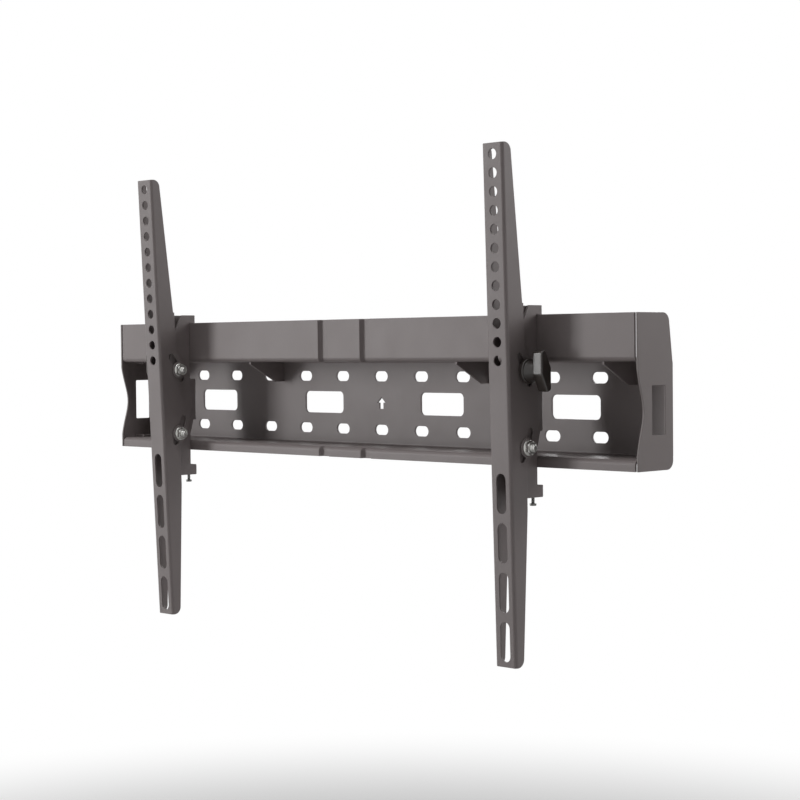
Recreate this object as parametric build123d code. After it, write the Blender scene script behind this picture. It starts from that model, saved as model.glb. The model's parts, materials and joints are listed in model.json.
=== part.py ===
from build123d import *
from math import cos, radians, sin, tan
import os

# Tilting wall mount for a flat television, in millimetres.
# X runs along the wall plate, to the right as seen from the room.
# Y runs into the wall, whose face is Y = 0, and Z is up.
# The origin is the centre of the wall bolt pattern, on the wall's face.

# Clearances
slide_gap = 0.3
tilt_gap = 0.3
running_fit = 0.05

# Wall plate, one folded sheet
plate_sheet = 2.0
plate_bend = 2.0
plate_length = 659.6
standoff = 48.6
channel_height = 76.6
top_lip_height = 38.2
bottom_lip_height = 9.2

# Pressed grooves that stiffen both lips
groove_spacing = 55.0
groove_width = 13.2
groove_depth = 3.5
groove_run = 1.8

# Slots and windows in the back of the wall plate
slot_pitch = 51.4
slot_columns = 11
slot_row_gap = 49.0
slot_length = 17.0
slot_width = 9.3
window_length = 52.5
window_height = 20.2
window_radius = 4.5
arrow_height = 10.5
arrow_width = 10.3
arrow_head = 4.8
arrow_stem = 5.3

# Gussets welded under the top shelf
gusset_sheet = 2.0
gusset_clip_gap = 21.8
gusset_spacing = 160.0
gusset_height = 19.3
gusset_foot = 11.0
gusset_nose = 2.4
gusset_nose_gap = 0.6
gusset_bend_gap = 0.5

# End caps
cap_wall = 1.8
cap_gap = 1.5
cap_back = 4.4
cap_shoulder = 9.5
cap_waist = 36.0
cap_corner = 7.5
cap_shoulder_round = 60.0
cap_slot_round = 1.0
cap_dip = 7.4
cap_dip_top = 33.0
cap_dip_bottom = -35.0
cap_dip_lean = 0.15
cap_slot_width = 17.0
cap_slot_height = 39.0
cap_slot_setback = 17.5
cap_clip_length = 12.0
cap_clip_width = 16.0
cap_clip_wall = 2.0

# Television arms, seen upright before they are tilted
arm_sheet = 2.0
arm_bend = 0.8
arm_width = 22.5
arm_top = 212.2
arm_bottom = -209.2
arm_end_depth = 9.6
arm_hip_depth = 19.0
arm_hip = 84.0
arm_middle_depth = 20.3
arm_corner = 7.0
arm_hole = 8.5
arm_hole_pitch = 15.0
arm_hole_count = 12
arm_hole_margin = 9.0
arm_slot_length = 32.5
arm_slot_width = 10.0
arm_slot_pitch = 40.0
arm_slot_count = 4
arm_slot_margin = 20.5

# Tilt: the arms turn about a line that lies in front of them, inside the television
web_standoff = 36.4
pivot_reach = 40.0
bolt_reach = 15.8
tilt_bolt_angle = 27.0
tilt_travel = 10.0
ear_border = 4.7

# Hook brackets
bracket_sheet = 2.0
bracket_bend = 1.0
bracket_round = 1.5
bracket_small_round = 0.8
bracket_front_round = 6.0
bracket_reach_back = 8.3
bracket_reach_front = 23.2
hook_rise = 7.3
hook_drop = 14.5
hook_chamfer_start = 9.0
hook_chamfer_angle = 28.0
middle_top = 22.0
middle_bottom = -18.0
middle_slant = 14.4
middle_step = 4.6
tab_top = -62.0
tab_bottom = -72.0
tab_corner = 2.5
toe_chamfer_width = 8.0
toe_chamfer_height = 20.0
lock_shelf_lead = 3.0

# Bolts, nuts, washers and knobs
bolt_diameter = 6.0
bolt_clearance = 0.4
bolt_tail = 3.0
nut_flats = 10.0
nut_height = 5.0
nut_round = 11.4
nut_edge = 0.7
nut_flange_diameter = 12.6
nut_flange_height = 1.2
nut_flange_edge = 0.3
washer_diameter = 16.0
washer_thickness = 1.2
washer_edge = 0.2
bolt_edge = 0.6
head_diameter = 10.5
head_height = 3.3
head_round = 2.2
socket_flats = 4.0
socket_depth = 2.0
knob_base_diameter = 20.6
knob_base_height = 3.2
knob_base_edge = 0.6
knob_hub_root = 17.4
knob_hub_crown = 11.8
knob_hub_height = 7.0
knob_wing_height = 10.0
knob_half_width = 5.9
knob_tip_reach = 17.0
knob_shoulder_reach = 15.4
knob_tip_offset = 1.2
knob_slope_start = 2.6
knob_shoulder_round = 2.4
knob_tip_round = 2.0
knob_slope_round = 4.0
knob_edge = 1.2
knob_bolt_seat = 9.0

# Lock screws under the bottom lip
lock_diameter = 3.0
lock_head_diameter = 5.6
lock_head_height = 2.0
lock_length = 28.5
lock_hang = 7.5
lock_lip_gap = 0.6
lock_slot_width = 0.9
lock_slot_depth = 0.9
lock_head_edge = 0.6
lock_tip_edge = 0.4

# Where the arms are set now: places along the wall plate, and tilts with the top forward
left_arm_x = -229.6
right_arm_x = 220.8
left_arm_tilt = 2.7
right_arm_tilt = 1.6

# Places that follow from the sizes above
half_channel = channel_height / 2
lip_top = half_channel + top_lip_height
lip_bottom = -half_channel - bottom_lip_height
lip_front = -standoff
back_face = -plate_sheet
web_front = lip_front - web_standoff
pivot_y = web_front - pivot_reach
bolt_y = lip_front - bolt_reach
tilt_radius = (bolt_y - pivot_y) / cos(radians(tilt_bolt_angle))
tilt_slot_width = bolt_diameter + 2 * tilt_gap
ear_radius = tilt_radius + tilt_slot_width / 2 + ear_border
bolt_z = tilt_radius * sin(radians(tilt_bolt_angle))
bracket_width = arm_width - 2 * arm_sheet - 2 * tilt_gap
bracket_back = lip_front + bracket_reach_back
bracket_lip_edge = lip_front - slide_gap
bracket_front = lip_front - bracket_reach_front
bracket_top = lip_top + slide_gap + hook_rise
washer_seat = arm_width / 2 + tilt_gap
head_seat = washer_seat + washer_thickness
lock_y = lip_front + plate_sheet + lock_lip_gap + lock_diameter / 2
gusset_outer = plate_length / 2 - cap_clip_length - gusset_clip_gap - gusset_sheet / 2
gusset_inner = gusset_outer - gusset_spacing
window_places = [-4.5, -1.5, 1.5, 4.5]


def side_solid(face, x_from, x_to):
    """Extrudes a face drawn in (Y, Z) from one X to another."""
    return extrude(Plane.YZ.offset(x_from) * face, amount=x_to - x_from)


def front_solid(face, y_from, y_to):
    """Extrudes a face drawn in (X, Z) from one Y to a larger one."""
    return extrude(Plane.XZ.offset(-y_from) * face, amount=y_from - y_to)


def rounded_face(corners):
    """Makes a face from (first, second, radius) corners in order."""
    points = [(a, b) for a, b, r in corners]
    radii = [r for a, b, r in corners]
    return make_face(FilletPolyline(*points, radius=radii, close=True))


def x_cylinder(diameter, x_from, x_to, y, z):
    """Makes a round bar along X."""
    return side_solid(Pos(y, z) * Circle(diameter / 2), x_from, x_to)


def x_hexagon(flats, x_from, x_to, y, z):
    """Makes a hexagonal bar along X, with a corner up."""
    hexagon = RegularPolygon(flats / 2, 6, major_radius=False, rotation=30)
    return side_solid(Pos(y, z) * hexagon, x_from, x_to)


def plate_section(lip_y):
    """The wall plate's folded section, in (Y, Z), with its lips at the given depth."""
    half = plate_sheet / 2
    lip_middle = lip_y + half
    back_middle = back_face + half
    shelf_middle = half_channel + half
    path = FilletPolyline(
        (lip_middle, lip_top),
        (lip_middle, shelf_middle),
        (back_middle, shelf_middle),
        (back_middle, -shelf_middle),
        (lip_middle, -shelf_middle),
        (lip_middle, lip_bottom),
        radius=plate_bend + half,
    )
    return trace(path, plate_sheet)


def plate_span(x_from, lip_from, x_to, lip_to):
    """A length of the wall plate, straight or running down into a groove."""
    start = Plane.YZ.offset(x_from) * plate_section(lip_from)
    if lip_from == lip_to:
        return extrude(start, amount=x_to - x_from)
    return loft([start, Plane.YZ.offset(x_to) * plate_section(lip_to)], ruled=True)


def arrow_face():
    """The cut-out that shows which way is up."""
    neck = arrow_height / 2 - arrow_head
    return make_face(
        Polyline(
            (0, arrow_height / 2),
            (arrow_width / 2, neck),
            (arrow_stem / 2, neck),
            (arrow_stem / 2, -arrow_height / 2),
            (-arrow_stem / 2, -arrow_height / 2),
            (-arrow_stem / 2, neck),
            (-arrow_width / 2, neck),
            close=True,
        )
    )


def wall_plate():
    """Back, two shelves and two lips, with grooves, wall slots and windows."""
    floor_y = lip_front + groove_depth
    stations = [(-plate_length / 2, lip_front)]
    for middle in (-groove_spacing / 2, groove_spacing / 2):
        edge = groove_width / 2
        stations.append((middle - edge, lip_front))
        stations.append((middle - edge + groove_run, floor_y))
        stations.append((middle + edge - groove_run, floor_y))
        stations.append((middle + edge, lip_front))
    stations.append((plate_length / 2, lip_front))
    plate = Part()
    for (x_from, lip_from), (x_to, lip_to) in zip(stations, stations[1:]):
        plate += plate_span(x_from, lip_from, x_to, lip_to)
    cuts = Sketch()
    for column in range(slot_columns):
        x = (column - (slot_columns - 1) / 2) * slot_pitch
        for z in (-slot_row_gap / 2, slot_row_gap / 2):
            cuts += Pos(x, z) * SlotOverall(slot_length, slot_width)
    for place in window_places:
        window = RectangleRounded(window_length, window_height, window_radius)
        cuts += Pos(place * slot_pitch, 0) * window
    cuts += arrow_face()
    return plate - front_solid(cuts, 2 * back_face, plate_sheet)


def gusset(x):
    """A plate square to the wall that props the top shelf."""
    top = half_channel
    relief = plate_bend + gusset_bend_gap
    nose = lip_front + plate_sheet + plate_bend + gusset_nose_gap
    outline = make_face(
        Polyline(
            (back_face, top - gusset_height),
            (back_face, top - relief),
            (back_face - relief, top),
            (nose, top),
            (nose, top - gusset_nose),
            (back_face - gusset_foot, top - gusset_height),
            close=True,
        )
    )
    return side_solid(outline, x - gusset_sheet / 2, x + gusset_sheet / 2)


def end_cap():
    """The right end cap: a shaped side wall with a slot and two clips behind it."""
    inner = plate_length / 2 + cap_gap
    front = lip_front
    dip_middle = (cap_dip_top + cap_dip_bottom) / 2
    edge = Polyline(
        (front, cap_dip_top),
        (front, lip_top),
        (-cap_shoulder, lip_top),
        (-cap_back, cap_waist),
        (-cap_back, lip_bottom),
        (front, lip_bottom),
        (front, cap_dip_bottom),
    )
    dip = Spline(
        (front, cap_dip_bottom),
        (front + cap_dip, dip_middle),
        (front, cap_dip_top),
        tangents=[(cap_dip_lean, 1), (-cap_dip_lean, 1)],
    )
    outline = make_face(edge + dip)
    outline = fillet(near(outline, -cap_shoulder, lip_top), cap_corner)
    outline = fillet(near(outline, -cap_back, lip_bottom), cap_corner)
    outline = fillet(near(outline, -cap_back, cap_waist), cap_shoulder_round)
    slot = RectangleRounded(cap_slot_width, cap_slot_height, cap_slot_round)
    outline -= Pos(front + cap_slot_setback + cap_slot_width / 2, 0) * slot
    cap = side_solid(outline, inner, inner + cap_wall)
    clip_y = -standoff / 2
    for side in (-1, 1):
        clip = Rectangle(cap_clip_width, cap_clip_wall)
        place = Pos(clip_y, side * (half_channel - cap_clip_wall / 2))
        cap += side_solid(place * clip, inner - cap_gap - cap_clip_length, inner)
    return cap


def near(sketch, first, second):
    """The corner of a sketch that lies nearest to a point."""
    target = Vector(first, second)
    return sketch.vertices().sort_by(lambda corner: (Vector(corner) - target).length)[0]


def arm_outline():
    """Side view of an arm, in (Y, Z), upright."""
    edge = web_front
    face = make_face(
        Polyline(
            (edge, arm_top),
            (edge + arm_end_depth, arm_top),
            (edge + arm_hip_depth, arm_hip),
            (edge + arm_middle_depth, arm_hip),
            (edge + arm_middle_depth, 0),
            (edge + arm_hip_depth, -arm_hip),
            (edge + arm_end_depth, arm_bottom),
            (edge, arm_bottom),
            close=True,
        )
    )
    face = fillet(near(face, edge + arm_end_depth, arm_top), arm_corner)
    face = fillet(near(face, edge + arm_end_depth, arm_bottom), arm_corner)
    reach = ear_radius - pivot_reach
    ear = Pos(pivot_y, 0) * Circle(ear_radius)
    ear = ear & (Pos(edge + reach / 2 + arm_sheet, 0) * Rectangle(reach, 2 * ear_radius))
    return face + ear


def tv_arm(tilt):
    """A channel with its web to the television, holes in the web and arcs in its sides."""
    half = arm_sheet / 2
    side = arm_width / 2 - half
    back = pivot_y + ear_radius + 1
    path = FilletPolyline(
        (-side, back),
        (-side, web_front + half),
        (side, web_front + half),
        (side, back),
        radius=arm_bend + half,
    )
    channel = Pos(0, 0, arm_bottom) * extrude(trace(path, arm_sheet), arm_top - arm_bottom)
    arm = channel & side_solid(arm_outline(), -arm_width, arm_width)
    cuts = Sketch()
    for index in range(arm_hole_count):
        z = arm_top - arm_hole_margin - index * arm_hole_pitch
        cuts += Pos(0, z) * Circle(arm_hole / 2)
    for index in range(arm_slot_count):
        z = arm_bottom + arm_slot_margin + index * arm_slot_pitch
        cuts += Pos(0, z) * SlotOverall(arm_slot_length, arm_slot_width, rotation=90)
    arm -= front_solid(cuts, web_front - arm_sheet, web_front + 2 * arm_sheet)
    for middle in (-tilt_bolt_angle, tilt_bolt_angle):
        arc = CenterArc((pivot_y, 0), tilt_radius, middle - tilt_travel, 2 * tilt_travel)
        arm -= side_solid(SlotArc(arc, tilt_slot_width), -arm_width, arm_width)
    pivot = Pos(0, pivot_y, 0)
    return pivot * Rot(tilt, 0, 0) * pivot.inverse() * arm


def bracket_outline():
    """Side view of a hook bracket, in (Y, Z)."""
    notch_back = lip_front + plate_sheet + slide_gap
    hook_tip = lip_top - hook_drop
    chamfer_y = bracket_lip_edge - hook_chamfer_start
    chamfer_drop = (chamfer_y - bracket_front) / tan(radians(hook_chamfer_angle))
    toe_y = bracket_front + toe_chamfer_width
    return rounded_face(
        [
            (bracket_back, bracket_top, bracket_small_round),
            (bracket_back, hook_tip, bracket_round),
            (notch_back, hook_tip, bracket_round),
            (notch_back, lip_top + slide_gap, 0),
            (bracket_lip_edge, lip_top + slide_gap, 0),
            (bracket_lip_edge, middle_top, bracket_round),
            (bracket_back, middle_top, bracket_round),
            (bracket_back, middle_bottom, bracket_small_round),
            (bracket_back - middle_step, middle_bottom, bracket_small_round),
            (bracket_lip_edge, middle_bottom - middle_slant, bracket_round),
            (bracket_lip_edge, tab_top, bracket_small_round),
            (bracket_back, tab_top, tab_corner),
            (bracket_back, tab_bottom, tab_corner),
            (toe_y, tab_bottom, bracket_round),
            (bracket_front, tab_bottom + toe_chamfer_height, bracket_round),
            (bracket_front, bracket_top - chamfer_drop, bracket_front_round),
            (chamfer_y, bracket_top, bracket_round),
        ]
    )


def hook_bracket():
    """A channel that hooks over the top lip and carries both tilt bolts."""
    half = bracket_sheet / 2
    side = bracket_width / 2 - half
    path = FilletPolyline(
        (-side, bracket_front - 1),
        (-side, bracket_back - half),
        (side, bracket_back - half),
        (side, bracket_front - 1),
        radius=bracket_bend + half,
    )
    height = bracket_top - tab_bottom
    channel = Pos(0, 0, tab_bottom) * extrude(trace(path, bracket_sheet), height)
    bracket = channel & side_solid(bracket_outline(), -bracket_width, bracket_width)
    inner_width = bracket_width - 2 * bracket_sheet
    shelf_front = lip_front - lock_shelf_lead
    shelf_back = bracket_back - half
    shelf = Pos(0, (shelf_front + shelf_back) / 2) * Rectangle(
        inner_width + half, shelf_back - shelf_front
    )
    bracket += Pos(0, 0, tab_bottom) * extrude(shelf, bracket_sheet)
    lock_hole = Pos(0, lock_y) * Circle(lock_diameter / 2 + running_fit)
    bracket -= Pos(0, 0, tab_bottom - 1) * extrude(lock_hole, bracket_sheet + 2)
    hole = bolt_diameter + bolt_clearance
    for z in (-bolt_z, bolt_z):
        bracket -= x_cylinder(hole, -bracket_width, bracket_width, bolt_y, z)
    return bracket


def washer(x_from, z):
    """A flat washer on a tilt bolt."""
    disc = x_cylinder(washer_diameter, x_from, x_from + washer_thickness, bolt_y, z)
    disc = chamfer(disc.edges().filter_by(GeomType.CIRCLE), washer_edge)
    hole = bolt_diameter + bolt_clearance
    return disc - x_cylinder(hole, x_from - 1, x_from + washer_thickness + 1, bolt_y, z)


def nut(z):
    """The flanged nut on the inner end of a tilt bolt."""
    outer = -head_seat - nut_height
    crown = x_cylinder(nut_round, outer, -head_seat, bolt_y, z)
    crown = chamfer(crown.faces().sort_by(Axis.X)[0].edges(), nut_edge)
    body = crown & x_hexagon(nut_flats, outer, -head_seat, bolt_y, z)
    flange = x_cylinder(nut_flange_diameter, -head_seat - nut_flange_height, -head_seat, bolt_y, z)
    body += chamfer(flange.faces().sort_by(Axis.X)[0].edges(), nut_flange_edge)
    bore = bolt_diameter + 2 * running_fit
    return body - x_cylinder(bore, outer - 1, -head_seat + 1, bolt_y, z)


def shank(x_outer, z):
    """A bolt's shank, from the given outer end to its tail past the nut."""
    tail = -head_seat - nut_height - bolt_tail
    bar = x_cylinder(bolt_diameter, tail, x_outer, bolt_y, z)
    return chamfer(bar.faces().sort_by(Axis.X)[0].edges(), bolt_edge)


def lower_bolt():
    """The lower tilt bolt, with a domed socket head on the outer side."""
    top = head_seat + head_height
    head = x_cylinder(head_diameter, head_seat, top, bolt_y, -bolt_z)
    head = fillet(head.faces().sort_by(Axis.X)[-1].edges(), head_round)
    bolt = head + shank(head_seat + 1, -bolt_z)
    return bolt - x_hexagon(socket_flats, top - socket_depth, top + 1, bolt_y, -bolt_z)


def knob_bolt():
    """The upper tilt bolt, which is moulded into its knob."""
    return shank(head_seat + knob_bolt_seat, bolt_z)


def tilt_knob():
    """A two-winged knob that clamps the tilt: a round base, a tapered hub and a slanted bar."""
    base_top = head_seat + knob_base_height
    hub_top = base_top + knob_hub_height
    base = x_cylinder(knob_base_diameter, head_seat, base_top, bolt_y, bolt_z)
    base = chamfer(base.faces().sort_by(Axis.X)[-1].edges(), knob_base_edge)
    axis = Pos(bolt_y, bolt_z)
    root = Plane.YZ.offset(base_top - knob_base_edge) * (axis * Circle(knob_hub_root / 2))
    crown = Plane.YZ.offset(hub_top + knob_edge) * (axis * Circle(knob_hub_crown / 2))
    hub = loft([root, crown])
    half_turn = [
        (-knob_half_width, knob_shoulder_reach, knob_shoulder_round),
        (-knob_tip_offset, knob_tip_reach, knob_tip_round),
        (knob_half_width, knob_slope_start, knob_slope_round),
    ]
    bar = rounded_face(half_turn + [(-y, -z, r) for y, z, r in half_turn])
    wings = side_solid(axis * bar, hub_top, hub_top + knob_wing_height)
    wings = fillet(wings.faces().filter_by(Axis.X).edges(), knob_edge)
    bore = bolt_diameter + 2 * running_fit
    seat = head_seat + knob_bolt_seat
    return base + hub + wings - x_cylinder(bore, head_seat - 1, seat, bolt_y, bolt_z)


def lock_screw():
    """The small screw that is turned up behind the bottom lip."""
    head_bottom = tab_bottom - lock_hang
    low = Pos(0, lock_y, head_bottom)
    head = low * extrude(Circle(lock_head_diameter / 2), lock_head_height)
    head = fillet(head.faces().sort_by(Axis.Z)[0].edges(), lock_head_edge)
    stem = extrude(Circle(lock_diameter / 2), lock_head_height + lock_length)
    stem = low * stem
    stem = chamfer(stem.faces().sort_by(Axis.Z)[-1].edges(), lock_tip_edge)
    driver = low * Box(lock_head_diameter, lock_slot_width, 2 * lock_slot_depth)
    return head + stem - driver


def save(name, part):
    """Writes one piece to its own file."""
    part.label = name
    export_step(part, f"parts/{name}.step")


def save_side(side, x, tilt, outward):
    """Places and writes the pieces of one arm. Lower bolts go in from the left on both."""
    pieces = {
        "tv_arm": tv_arm(tilt),
        "hook_bracket": hook_bracket(),
        "tilt_knob": tilt_knob(),
        "knob_bolt": knob_bolt(),
        "knob_washer": washer(washer_seat, bolt_z),
        "knob_nut_washer": washer(-head_seat, bolt_z),
        "knob_nut": nut(bolt_z),
        "lower_bolt": lower_bolt(),
        "lower_bolt_washer": washer(washer_seat, -bolt_z),
        "lower_nut_washer": washer(-head_seat, -bolt_z),
        "lower_nut": nut(-bolt_z),
        "lock_screw": lock_screw(),
    }
    for name, piece in pieces.items():
        if outward < 0 or name.startswith("lower"):
            piece = mirror(piece, about=Plane.YZ)
        save(f"{side}_{name}", Pos(x, 0, 0) * piece)


os.makedirs("parts", exist_ok=True)
save("wall_plate", wall_plate())
save("gusset_far_left", gusset(-gusset_outer))
save("gusset_left", gusset(-gusset_inner))
save("gusset_right", gusset(gusset_inner))
save("gusset_far_right", gusset(gusset_outer))
save("right_end_cap", end_cap())
save("left_end_cap", mirror(end_cap(), about=Plane.YZ))
save_side("left", left_arm_x, left_arm_tilt, -1)
save_side("right", right_arm_x, right_arm_tilt, 1)
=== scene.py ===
import json
import math

import bmesh
import bpy
from mathutils import Matrix, Vector


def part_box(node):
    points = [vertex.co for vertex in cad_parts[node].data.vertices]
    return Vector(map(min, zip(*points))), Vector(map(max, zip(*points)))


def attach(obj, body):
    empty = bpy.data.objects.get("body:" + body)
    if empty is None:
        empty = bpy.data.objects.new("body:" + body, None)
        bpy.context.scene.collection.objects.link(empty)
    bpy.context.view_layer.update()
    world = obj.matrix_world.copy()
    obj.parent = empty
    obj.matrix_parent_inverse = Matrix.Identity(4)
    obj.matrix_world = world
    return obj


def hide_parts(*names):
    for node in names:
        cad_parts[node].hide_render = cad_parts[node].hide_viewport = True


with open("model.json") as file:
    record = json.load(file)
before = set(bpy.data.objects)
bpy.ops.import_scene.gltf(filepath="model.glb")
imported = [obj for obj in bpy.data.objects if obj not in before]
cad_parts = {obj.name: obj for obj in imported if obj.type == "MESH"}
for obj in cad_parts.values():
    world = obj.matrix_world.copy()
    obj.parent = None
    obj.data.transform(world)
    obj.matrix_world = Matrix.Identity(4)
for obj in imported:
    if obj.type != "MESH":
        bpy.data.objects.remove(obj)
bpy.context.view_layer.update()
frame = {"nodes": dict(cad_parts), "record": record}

cad_nodes = frame["nodes"]
scene = bpy.context.scene
MM = 0.001
SIDES = ("left", "right")


# Building blocks for node trees


def add_node(tree, kind, feeds=None, **settings):
    """Adds a node, sets it up and feeds its inputs with sockets or plain values."""
    node = tree.nodes.new(kind)
    for name, value in settings.items():
        setattr(node, name, value)
    for socket, value in (feeds or {}).items():
        if isinstance(value, bpy.types.NodeSocket):
            tree.links.new(value, node.inputs[socket])
        else:
            node.inputs[socket].default_value = value
    return node


def place(tree, kind, feeds=None, **settings):
    """Adds a shader node."""
    return add_node(tree, "ShaderNode" + kind, feeds, **settings)


def calculate(tree, operation, *terms):
    """One Math node, as its output socket."""
    return place(tree, "Math", dict(enumerate(terms)), operation=operation).outputs[0]


def remap(tree, value, low, high, new_low, new_high, smooth=False):
    """Maps a value from one span to another, held at its ends."""
    kind = "SMOOTHSTEP" if smooth else "LINEAR"
    feeds = {0: value, 1: low, 2: high, 3: new_low, 4: new_high}
    return place(tree, "MapRange", feeds, interpolation_type=kind).outputs[0]


def noise(tree, coordinates, scale, detail=2.0, roughness=0.5):
    """A noise pattern, as its value socket."""
    feeds = {"Vector": coordinates, "Scale": scale, "Detail": detail, "Roughness": roughness}
    return place(tree, "TexNoise", feeds).outputs["Fac"]


def blend_colours(tree, share, first, second, blend_type="MIX"):
    """Mixes two colours, as the result socket."""
    feeds = {0: share, 6: first, 7: second}
    return place(tree, "Mix", feeds, data_type="RGBA", blend_type=blend_type).outputs[2]


def shader_group(name, inputs, outputs):
    """Starts a node group with named inputs and outputs."""
    tree = bpy.data.node_groups.new(name, "ShaderNodeTree")
    for label, kind, value in inputs:
        socket = tree.interface.new_socket(label, in_out="INPUT", socket_type="NodeSocket" + kind)
        if value is not None:
            socket.default_value = value
    for label, kind in outputs:
        tree.interface.new_socket(label, in_out="OUTPUT", socket_type="NodeSocket" + kind)
    given = tree.nodes.new("NodeGroupInput").outputs
    result = tree.nodes.new("NodeGroupOutput").inputs
    return tree, given, result


def use_group(tree, group, feeds):
    """Puts a node group into a material and gives back its outputs."""
    return place(tree, "Group", feeds, node_tree=group).outputs


# Effects that several finishes share


def coat_texture_group():
    """The fine orange peel and speckle of a baked powder or a moulded grain."""
    tree, given, result = shader_group(
        "Coat Texture",
        [("Coordinates", "Vector", None), ("Cell Size", "Float", 0.001)],
        [("Height", "Float"), ("Speckle", "Float")],
    )
    scale = calculate(tree, "DIVIDE", 1.0, given["Cell Size"])
    peel = noise(tree, given["Coordinates"], scale, 1.0)
    finer = calculate(tree, "MULTIPLY", scale, 3.3)
    grain = noise(tree, given["Coordinates"], finer, 2.0, 0.6)
    tree.links.new(calculate(tree, "MULTIPLY_ADD", grain, 0.25, peel), result["Height"])
    tree.links.new(remap(tree, grain, 0.35, 0.65, 0.0, 1.0), result["Speckle"])
    return tree


def worn_and_highlit_edges_group():
    """Outer edges, broken up into patches: where a finish is thin, and where a painted highlight
    lightens the edges.
    """
    tree, given, result = shader_group(
        "Worn And Highlit Edges",
        [
            ("Coordinates", "Vector", None),
            ("Edge Width", "Float", 0.001),
            ("Patch Size", "Float", 0.02),
            ("Evenness", "Float", 0.6),
        ],
        [("Wear And Highlight", "Float")],
    )
    inner = place(
        tree,
        "AmbientOcclusion",
        {"Distance": given["Edge Width"]},
        samples=6,
        inside=True,
        only_local=True,
    )
    edge = remap(tree, inner.outputs["AO"], 0.92, 0.5, 0.0, 1.0, smooth=True)
    scale = calculate(tree, "DIVIDE", 1.0, given["Patch Size"])
    patches = remap(tree, noise(tree, given["Coordinates"], scale, 3.0), 0.35, 0.65, 0.0, 1.0)
    kept = place(tree, "Mix", {0: given["Evenness"], 2: patches, 3: 1.0}, data_type="FLOAT")
    tree.links.new(calculate(tree, "MULTIPLY", edge, kept.outputs[0]), result["Wear And Highlight"])
    return tree


def patchy_tone_group():
    """A colour that drifts a little over the surface, as no batch of paint is quite even."""
    tree, given, result = shader_group(
        "Patchy Tone",
        [
            ("Colour", "Color", (0.5, 0.5, 0.5, 1.0)),
            ("Coordinates", "Vector", None),
            ("Patch Size", "Float", 0.05),
            ("Spread", "Float", 0.1),
        ],
        [("Colour", "Color")],
    )
    scale = calculate(tree, "DIVIDE", 1.0, given["Patch Size"])
    drift = calculate(tree, "SUBTRACT", noise(tree, given["Coordinates"], scale, 3.0), 0.5)
    factor = calculate(tree, "MULTIPLY_ADD", drift, given["Spread"], 1.0)
    made = place(tree, "VectorMath", {0: given["Colour"], "Scale": factor}, operation="SCALE")
    tree.links.new(made.outputs[0], result["Colour"])
    return tree


def handled_gloss_group():
    """Gloss that hands and packing have made uneven."""
    tree, given, result = shader_group(
        "Handled Gloss",
        [
            ("Coordinates", "Vector", None),
            ("Roughness", "Float", 0.45),
            ("Patch Size", "Float", 0.03),
            ("Spread", "Float", 0.1),
        ],
        [("Roughness", "Float")],
    )
    scale = calculate(tree, "DIVIDE", 1.0, given["Patch Size"])
    broad = noise(tree, given["Coordinates"], scale, 4.0, 0.6)
    drift = calculate(tree, "SUBTRACT", broad, 0.5)
    uneven = calculate(tree, "MULTIPLY_ADD", drift, given["Spread"], given["Roughness"])
    tree.links.new(uneven, result["Roughness"])
    return tree


def turned_rings_group():
    """Fine rings round the Z axis of the coordinates, left by turning or pressing."""
    tree, given, result = shader_group(
        "Turned Rings",
        [("Coordinates", "Vector", None), ("Ring Pitch", "Float", 0.0003)],
        [("Height", "Float"), ("Streak", "Float")],
    )
    flat = place(
        tree, "VectorMath", {0: given["Coordinates"], 1: (1.0, 1.0, 0.0)}, operation="MULTIPLY"
    )
    reach = place(tree, "VectorMath", {0: flat.outputs[0]}, operation="LENGTH").outputs["Value"]
    steps = calculate(tree, "DIVIDE", reach, given["Ring Pitch"])
    streak = place(tree, "TexNoise", {"W": steps, "Scale": 1.0}, noise_dimensions="1D")
    tree.links.new(streak.outputs["Fac"], result["Height"])
    tree.links.new(remap(tree, streak.outputs["Fac"], 0.3, 0.7, 0.0, 1.0), result["Streak"])
    return tree


coat_texture = coat_texture_group()
worn_and_highlit_edges = worn_and_highlit_edges_group()
patchy_tone = patchy_tone_group()
handled_gloss = handled_gloss_group()
turned_rings = turned_rings_group()


# Finishes

FLECK_GAIN = 1.16
# Share of the lighter edge colour, which is partly wear and partly a painted highlight along the
# edges
WEAR_AND_HIGHLIGHT_SHARE = 0.55
PEEL_HEIGHT = 0.06  # of a cell
ZINC = (0.62, 0.63, 0.65)
WARM_ZINC = (0.66, 0.64, 0.57)
DULL_ZINC = (0.42, 0.43, 0.45)


def new_finish(name):
    """A material with its tree, Principled shader and Object coordinates."""
    material = bpy.data.materials.new(name)
    material.use_nodes = True
    tree = material.node_tree
    tree.nodes.clear()
    shader = place(tree, "BsdfPrincipled")
    leave = place(tree, "OutputMaterial")
    tree.links.new(shader.outputs[0], leave.inputs["Surface"])
    return material, tree, shader, place(tree, "TexCoord").outputs["Object"]


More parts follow.
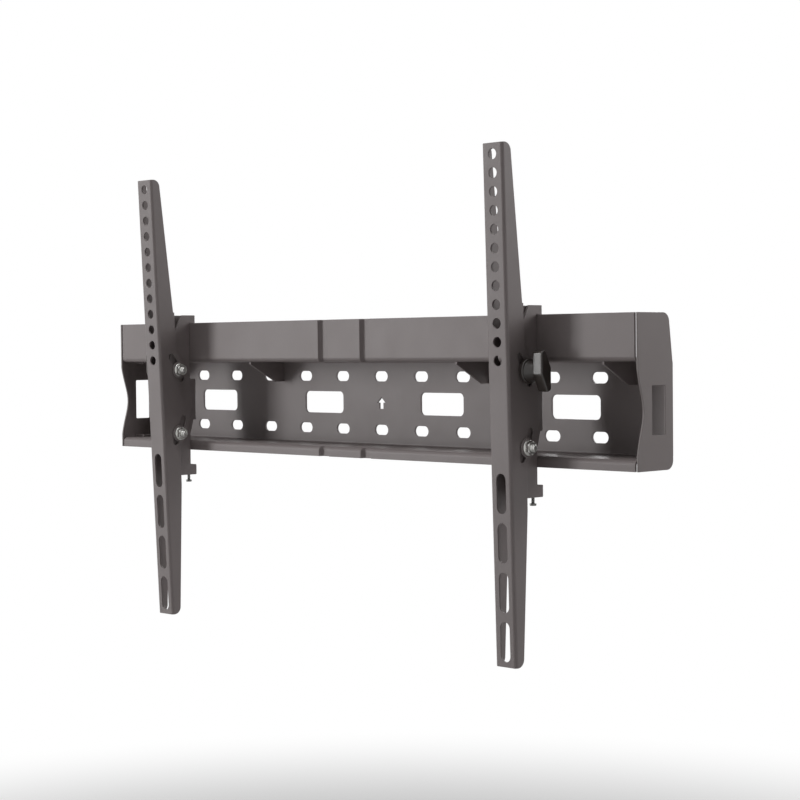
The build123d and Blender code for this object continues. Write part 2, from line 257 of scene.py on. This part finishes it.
def coated(name, colour, wear_and_highlight_colour, roughness, cell, peel, drift, edge_width):
    """A painted, powder coated or moulded finish."""
    material, tree, shader, at = new_finish(name)
    texture = use_group(tree, coat_texture, {"Coordinates": at, "Cell Size": cell})
    tone = use_group(
        tree,
        patchy_tone,
        {"Colour": (*colour, 1.0), "Coordinates": at, "Patch Size": 0.06, "Spread": drift},
    )
    lighter = place(tree, "VectorMath", {0: tone["Colour"], "Scale": FLECK_GAIN}, operation="SCALE")
    flecked = blend_colours(tree, texture["Speckle"], tone["Colour"], lighter.outputs[0])
    wear_and_highlight = use_group(
        tree,
        worn_and_highlit_edges,
        {"Coordinates": at, "Edge Width": edge_width, "Patch Size": 0.02, "Evenness": 0.6},
    )
    # Lighter edge colour: partly paint worn thin, partly a painted highlight along the edges
    share = calculate(tree, "MULTIPLY", wear_and_highlight["Wear And Highlight"], WEAR_AND_HIGHLIGHT_SHARE)
    final = blend_colours(tree, share, flecked, (*wear_and_highlight_colour, 1.0))
    gloss = use_group(
        tree,
        handled_gloss,
        {"Coordinates": at, "Roughness": roughness, "Patch Size": 0.035, "Spread": 0.14},
    )
    bump = place(
        tree,
        "Bump",
        {"Strength": peel, "Distance": cell * PEEL_HEIGHT, "Height": texture["Height"]},
    )
    tree.links.new(final, shader.inputs["Base Color"])
    tree.links.new(gloss["Roughness"], shader.inputs["Roughness"])
    tree.links.new(bump.outputs[0], shader.inputs["Normal"])
    return material


def dimmed(colour, depth):
    """A colour times a depth, with full alpha."""
    return (*(channel * depth for channel in colour), 1.0)


def zinc_plated(name, centre, turn, depth=1.0):
    """Zinc on a small turned part, with rings round its own axis. A low depth darkens all its
    colours.
    """
    material, tree, shader, at = new_finish(name)
    if turn == "along X":
        mirrored = place(tree, "VectorMath", {0: at}, operation="ABSOLUTE").outputs[0]
        moved = place(tree, "Mapping", {"Vector": mirrored, "Location": -Vector(centre)})
        parts = place(tree, "SeparateXYZ", {0: moved.outputs[0]}).outputs
        own = place(tree, "CombineXYZ", {0: parts[1], 1: parts[2], 2: parts[0]}).outputs[0]
    else:
        own = place(tree, "Mapping", {"Vector": at, "Location": -Vector(centre)}).outputs[0]
    rings = use_group(tree, turned_rings, {"Coordinates": own, "Ring Pitch": 0.00022})
    texture = use_group(tree, coat_texture, {"Coordinates": at, "Cell Size": 0.0005})
    tone = use_group(
        tree,
        patchy_tone,
        {
            "Colour": dimmed(ZINC, depth),
            "Coordinates": at,
            "Patch Size": 0.004,
            "Spread": 0.35,
        },
    )
    warm = dimmed(WARM_ZINC, depth)
    tinted = blend_colours(tree, texture["Speckle"], tone["Colour"], warm)
    share = calculate(tree, "MULTIPLY", rings["Streak"], 0.3)
    streaked = blend_colours(tree, share, tinted, dimmed(DULL_ZINC, depth))
    gloss = use_group(
        tree,
        handled_gloss,
        {"Coordinates": at, "Roughness": 0.3, "Patch Size": 0.003, "Spread": 0.2},
    )
    bump = place(tree, "Bump", {"Strength": 0.25, "Distance": 0.00002, "Height": rings["Height"]})
    tree.links.new(streaked, shader.inputs["Base Color"])
    tree.links.new(gloss["Roughness"], shader.inputs["Roughness"])
    tree.links.new(bump.outputs[0], shader.inputs["Normal"])
    shader.inputs["Metallic"].default_value = 1.0
    return material


powder_coat = coated(
    "Dark Powder Coat",
    colour=(0.200, 0.171, 0.169),
    wear_and_highlight_colour=(0.38, 0.345, 0.34),
    roughness=0.46,
    cell=1.1 * MM,
    peel=0.35,
    drift=0.12,
    edge_width=0.7 * MM,
)
cap_plastic = coated(
    "Moulded Cap Plastic",
    colour=(0.192, 0.165, 0.162),
    wear_and_highlight_colour=(0.33, 0.31, 0.30),
    roughness=0.5,
    cell=0.5 * MM,
    peel=0.5,
    drift=0.06,
    edge_width=0.8 * MM,
)
knob_plastic = coated(
    "Black Knob Plastic",
    colour=(0.062, 0.052, 0.046),
    wear_and_highlight_colour=(0.15, 0.14, 0.14),
    roughness=0.17,
    cell=0.4 * MM,
    peel=0.3,
    drift=0.2,
    edge_width=0.8 * MM,
)


def middle(node):
    """The middle of a CAD node's box."""
    low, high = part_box(node)
    return (low + high) / 2


bolt_middle = middle("left_lower_nut_washer")
bolt_zinc = zinc_plated(
    "Zinc Plated Bolt", (0.0, -bolt_middle.y, -bolt_middle.z), turn="along X"
)
# The lock screws get zinc colours darkened to a fifth
screw_zinc = {
    side: zinc_plated(
        "Darkened Zinc Screw " + side.title(), middle(side + "_lock_screw"), turn="along Z", depth=0.2
    )
    for side in SIDES
}


# Pieces

WELD_DISTANCE = 0.002 * MM
FLAT_ANGLE = math.radians(0.25)
CRISP_DEGREES = 32
THREAD_CRISP_DEGREES = 50


def closed_copy(node):
    """A bmesh of a CAD node's surface, welded and with its flat faces whole."""
    work = bmesh.new()
    work.from_mesh(cad_nodes[node].data)
    bmesh.ops.remove_doubles(work, verts=work.verts, dist=WELD_DISTANCE)
    bmesh.ops.dissolve_limit(work, angle_limit=FLAT_ANGLE, verts=work.verts, edges=work.edges)
    return work


def piece_from(work, name, finish):
    """Turns a bmesh into a finished piece in the scene."""
    for face in work.faces:
        face.smooth = True
        face.material_index = 0
    mesh = bpy.data.meshes.new(name)
    work.to_mesh(mesh)
    work.free()
    for left_over in ("custom_normal", "sharp_face"):
        if left_over in mesh.attributes:
            mesh.attributes.remove(mesh.attributes[left_over])
    mesh.materials.clear()
    mesh.materials.append(finish)
    piece = bpy.data.objects.new(name, mesh)
    scene.collection.objects.link(piece)
    return piece


def weigh_edges(work, angle, too_thin):
    """Marks the crisp edges that get eased, apart from those in a box too thin for it."""
    weight = work.edges.layers.float.new("bevel_weight_edge")
    for edge in work.edges:
        if edge.calc_face_angle(0.0) > math.radians(angle):
            at = (edge.verts[0].co + edge.verts[1].co) / 2
            inside = too_thin and all(
                low < value < high for low, value, high in zip(too_thin[0], at, too_thin[1])
            )
            edge[weight] = 0.0 if inside else 1.0


def ease_edges(piece, width, segments=2):
    """Rounds the marked edges a little, as deburring and paint do, and evens the shading."""
    bevel = piece.modifiers.new("Eased edges", "BEVEL")
    bevel.width = width
    bevel.segments = segments
    bevel.limit_method = "WEIGHT"
    bevel.use_clamp_overlap = False
    shading = piece.modifiers.new("Even shading", "WEIGHTED_NORMAL")
    shading.keep_sharp = True


def body_of(node):
    """The body that carries a CAD node."""
    for body, members in frame["record"]["behaviour"]["bodies"].items():
        if node in members:
            return body


def dress(node, finish, width, segments=2, too_thin=None):
    """Stands an eased copy in for a CAD node."""
    work = closed_copy(node)
    weigh_edges(work, CRISP_DEGREES, too_thin)
    piece = piece_from(work, node + "_eased", finish)
    ease_edges(piece, width, segments)
    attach(piece, body_of(node))
    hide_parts(node)


def tab_corner(bracket):
    """The box round a bracket's lower back corner, where its shelf leaves a thin step."""
    low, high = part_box(bracket)
    side_inset = 1.4 * MM
    corner_depth = 2.6 * MM
    below, above = 1.0 * MM, 0.7 * MM
    return (
        Vector((low.x + side_inset, high.y - corner_depth, low.z - below)),
        Vector((high.x - side_inset, high.y, low.z + above)),
    )


def repaint(node, finish):
    """Gives a CAD node whose shape is right its finish."""
    mesh = cad_nodes[node].data
    mesh.materials.clear()
    mesh.materials.append(finish)


dress("wall_plate", powder_coat, 0.3 * MM)
for gusset in ("gusset_far_left", "gusset_left", "gusset_right", "gusset_far_right"):
    dress(gusset, powder_coat, 0.2 * MM)
for side in SIDES:
    dress(side + "_end_cap", cap_plastic, 0.4 * MM, segments=3)
    dress(side + "_tv_arm", powder_coat, 0.3 * MM)
    bracket = side + "_hook_bracket"
    dress(bracket, powder_coat, 0.25 * MM, too_thin=tab_corner(bracket))
    dress(side + "_tilt_knob", knob_plastic, 0.25 * MM)
    for part in ("knob_washer", "knob_nut_washer", "lower_bolt_washer", "lower_nut_washer"):
        repaint(side + "_" + part, cap_plastic)
    for part in ("knob_nut", "lower_nut"):
        repaint(side + "_" + part, bolt_zinc)


# Threads

# Shares of the pitch
THREAD_DEPTH = 0.55
TAPER_END = 0.35
CORE_START = 0.3
RIDGE_START = 0.5
RIDGE_SHORTER = 0.8

RIDGE_THICKNESS = 1.15  # of the thread's depth, so that the ridge sinks into the core
EASED_THREAD = 0.08 * MM
BOLT_RADIUS, BOLT_PITCH = 3.0 * MM, 1.0 * MM
SCREW_RADIUS, SCREW_PITCH, SCREW_HEAD = 1.5 * MM, 0.5 * MM, 2.4 * MM


def thread_tree():
    """Geometry Nodes: a rolled thread, one ridge that winds up the Z axis."""
    tree = bpy.data.node_groups.new("Rolled Thread", "GeometryNodeTree")
    tree.interface.new_socket("Geometry", in_out="INPUT", socket_type="NodeSocketGeometry")
    for label, kind in (
        ("Outer Radius", "Float"),
        ("Ridge Depth", "Float"),
        ("Thread Pitch", "Float"),
        ("Threaded Length", "Float"),
        ("Foot", "Vector"),
        ("Turn", "Vector"),
        ("Finish", "Material"),
    ):
        tree.interface.new_socket(label, in_out="INPUT", socket_type="NodeSocket" + kind)
    tree.interface.new_socket("Geometry", in_out="OUTPUT", socket_type="NodeSocketGeometry")
    given = tree.nodes.new("NodeGroupInput").outputs
    result = tree.nodes.new("NodeGroupOutput").inputs

    def step(kind, feeds=None, **settings):
        return add_node(tree, kind, feeds, **settings)

    turns = step(
        "ShaderNodeMath",
        {0: given["Threaded Length"], 1: given["Thread Pitch"]},
        operation="DIVIDE",
    )
    half_depth = step("ShaderNodeMath", {0: given["Ridge Depth"], 1: 0.5}, operation="MULTIPLY")
    line_radius = step(
        "ShaderNodeMath", {0: given["Outer Radius"], 1: half_depth.outputs[0]}, operation="SUBTRACT"
    )
    winding = step(
        "GeometryNodeCurveSpiral",
        {
            "Resolution": 20,
            "Rotations": turns.outputs[0],
            "Start Radius": line_radius.outputs[0],
            "End Radius": line_radius.outputs[0],
            "Height": given["Threaded Length"],
        },
    )
    upright = step("GeometryNodeSetCurveNormal", {"Curve": winding.outputs[0]}, mode="Z_UP")
    ridge = step(
        "GeometryNodeCurvePrimitiveCircle",
        {"Resolution": 6, "Radius": half_depth.outputs[0]},
        mode="RADIUS",
    )
    swept = step(
        "GeometryNodeCurveToMesh",
        {"Curve": upright.outputs[0], "Profile Curve": ridge.outputs[0], "Fill Caps": True},
    )
    seated = step(
        "GeometryNodeTransform",
        {
            "Geometry": swept.outputs[0],
            "Translation": given["Foot"],
            "Rotation": given["Turn"],
        },
    )
    whole = step("GeometryNodeRealizeInstances", {"Geometry": seated.outputs[0]})
    finished = step(
        "GeometryNodeSetMaterial", {"Geometry": whole.outputs[0], "Material": given["Finish"]}
    )
    tree.links.new(finished.outputs[0], result["Geometry"])
    return tree


rolled_thread = thread_tree()
socket_names = {
    item.name: item.identifier
    for item in rolled_thread.interface.items_tree
    if item.item_type == "SOCKET" and item.in_out == "INPUT"
}


def thread_mesh(name, sizes):
    """Evaluates the thread tree once and keeps the plain mesh."""
    carrier = bpy.data.objects.new(name + "_carrier", bpy.data.meshes.new(name + "_carrier"))
    scene.collection.objects.link(carrier)
    modifier = carrier.modifiers.new("Thread", "NODES")
    modifier.node_group = rolled_thread
    for label, value in sizes.items():
        modifier[socket_names[label]] = value
    bpy.context.view_layer.update()
    ready = carrier.evaluated_get(bpy.context.evaluated_depsgraph_get())
    mesh = bpy.data.meshes.new_from_object(ready)
    carrier.modifiers.clear()
    bpy.data.objects.remove(carrier)
    return mesh


def threaded(node, finish, start, end, axis, radius, pitch):
    """Stands in for a bolt or screw: its threaded part gets a core and a wound ridge."""
    centre = middle(node)
    along = 0 if axis == "X" else 2
    across = [index for index in range(3) if index != along]
    way = 1.0 if end > start else -1.0
    depth = THREAD_DEPTH * pitch
    work = closed_copy(node)
    normal = Vector((way if along == 0 else 0.0, 0.0, way if along == 2 else 0.0))
    for cut in (start, start + way * pitch * TAPER_END):
        at = centre.copy()
        at[along] = cut
        bmesh.ops.bisect_plane(
            work, geom=work.verts[:] + work.edges[:] + work.faces[:], plane_co=at, plane_no=normal
        )
    share = (radius - depth) / radius
    for vertex in work.verts:
        if (vertex.co[along] - start) * way > pitch * CORE_START:
            for index in across:
                vertex.co[index] = centre[index] + (vertex.co[index] - centre[index]) * share
    length = abs(end - start) - pitch * RIDGE_SHORTER
    foot = centre.copy()
    foot[along] = min(
        start + way * pitch * RIDGE_START, start + way * (pitch * RIDGE_START + length)
    )
    turn = (0.0, math.radians(90), 0.0) if axis == "X" else (0.0, 0.0, 0.0)
    sizes = {
        "Outer Radius": radius,
        "Ridge Depth": depth * RIDGE_THICKNESS,
        "Thread Pitch": pitch,
        "Threaded Length": length,
        "Foot": foot,
        "Turn": turn,
        "Finish": finish,
    }
    ridge = thread_mesh(node, sizes)
    work.from_mesh(ridge)
    bmesh.ops.recalc_face_normals(work, faces=work.faces)
    weigh_edges(work, THREAD_CRISP_DEGREES, None)
    piece = piece_from(work, node + "_threaded", finish)
    ease_edges(piece, EASED_THREAD, 1)
    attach(piece, body_of(node))
    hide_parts(node)


def outer_faces(side, nut):
    """Where a nut ends and where the bolt's tail ends, along X."""
    nut_low, nut_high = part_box(side + "_" + nut)
    bolt_low, bolt_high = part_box(side + "_" + nut.replace("nut", "bolt"))
    if side == "right" and nut == "knob_nut":
        return nut_low.x, bolt_low.x
    return nut_high.x, bolt_high.x


for side in SIDES:
    for nut in ("knob_nut", "lower_nut"):
        start, end = outer_faces(side, nut)
        bolt = side + "_" + nut.replace("nut", "bolt")
        threaded(bolt, bolt_zinc, start, end, "X", BOLT_RADIUS, BOLT_PITCH)
    screw = side + "_lock_screw"
    low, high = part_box(screw)
    start = low.z + SCREW_HEAD
    threaded(screw, screw_zinc[side], start, high.z, "Z", SCREW_RADIUS, SCREW_PITCH)


# Camera, at the photograph's viewing angle

F_PIXELS = 1895.39
PICTURE_WIDTH = 800
CAMERA_AT = (1.24379, -1.20880, 0.05185)
YAW, PITCH, ROLL = math.radians(45.2965), math.radians(1.6253), math.radians(-0.5553)
forward = Vector(
    (-math.sin(YAW) * math.cos(PITCH), math.cos(YAW) * math.cos(PITCH), -math.sin(PITCH))
)
level_right = Vector((math.cos(YAW), math.sin(YAW), 0.0))
level_up = level_right.cross(forward)
right = math.cos(ROLL) * level_right + math.sin(ROLL) * level_up
up = -math.sin(ROLL) * level_right + math.cos(ROLL) * level_up
lens = bpy.data.cameras.new("Camera")
lens.sensor_width = 36.0
lens.lens = F_PIXELS * lens.sensor_width / PICTURE_WIDTH
lens.clip_start = 0.01
camera = bpy.data.objects.new("Camera", lens)
camera.matrix_world = Matrix.Translation(CAMERA_AT) @ Matrix(
    (right, up, -forward)
).transposed().to_4x4()
scene.collection.objects.link(camera)
scene.camera = camera


# Light, floor and background

WHITE = (1, 1, 1, 1)
ROOM_LIGHT = 0.06
FLOOR_HEIGHT = -0.55
FLOOR_RADIUS = 6.0
FADE_START, FADE_END = 0.75, 1.35


def soft_lamp(name, where, aim, width, height, watts):
    """A rectangular soft box."""
    light = bpy.data.lights.new(name, "AREA")
    light.shape = "RECTANGLE"
    light.size = width
    light.size_y = height
    light.energy = watts
    lamp = bpy.data.objects.new(name, light)
    lamp.location = where
    lamp.visible_camera = False
    lamp.rotation_euler = (Vector(aim) - Vector(where)).to_track_quat("-Z", "Y").to_euler()
    scene.collection.objects.link(lamp)


soft_lamp("Key", (-2.10, -2.25, 0.45), (0, 0, 0), 0.65, 1.9, 33)
soft_lamp("Back light", (1.0, 0.48, 0.34), (0.2, 0, 0), 0.4, 0.4, 2.3)
soft_lamp("Top light", (0.0, -0.5, 1.8), (0, 0, 0), 1.4, 0.4, 11)
soft_lamp("Rear fill", (-0.9, 2.3, 0.9), (0, 0, 0), 1.4, 1.4, 24)


def seen_directly(tree):
    """1 for what the camera sees itself, in a mirror or through glass."""
    path = place(tree, "LightPath").outputs
    either = calculate(tree, "MAXIMUM", path["Is Camera Ray"], path["Is Glossy Ray"])
    return calculate(tree, "MAXIMUM", either, path["Is Transmission Ray"])


def make_world():
    """White to look at, and a plain level of light from all round."""
    world = bpy.data.worlds.new("Plain studio")
    world.use_nodes = True
    tree = world.node_tree
    tree.nodes.clear()
    lit = place(tree, "Background", {"Color": WHITE, "Strength": ROOM_LIGHT})
    seen = place(tree, "Background", {"Color": WHITE, "Strength": 1.0})
    share = seen_directly(tree)
    mixed = place(tree, "MixShader", {0: share, 1: lit.outputs[0], 2: seen.outputs[0]})
    leave = place(tree, "OutputWorld")
    tree.links.new(mixed.outputs[0], leave.inputs["Surface"])
    scene.world = world


def make_floor():
    """A pale round floor that keeps the shadow and fades into the background."""
    work = bmesh.new()
    bmesh.ops.create_circle(work, cap_ends=True, segments=96, radius=FLOOR_RADIUS)
    bmesh.ops.translate(work, verts=work.verts, vec=(0, 0, FLOOR_HEIGHT))
    mesh = bpy.data.meshes.new("Floor")
    work.to_mesh(mesh)
    work.free()
    material, tree, shader, at = new_finish("Pale Floor")
    shader.inputs["Base Color"].default_value = (0.82, 0.82, 0.82, 1.0)
    shader.inputs["Roughness"].default_value = 0.9
    reach = place(tree, "VectorMath", {0: at}, operation="LENGTH").outputs["Value"]
    far = remap(tree, reach, FADE_START, FADE_END, 0.0, 1.0, smooth=True)
    share = calculate(tree, "MULTIPLY", far, seen_directly(tree))
    white = place(tree, "Emission", {"Color": WHITE, "Strength": 1.0})
    mixed = place(tree, "MixShader", {0: share, 1: shader.outputs[0], 2: white.outputs[0]})
    leave = next(node for node in tree.nodes if node.type == "OUTPUT_MATERIAL")
    tree.links.new(mixed.outputs[0], leave.inputs["Surface"])
    mesh.materials.append(material)
    floor = bpy.data.objects.new("Floor", mesh)
    scene.collection.objects.link(floor)


make_world()
make_floor()
scene.view_settings.view_transform = "Standard"
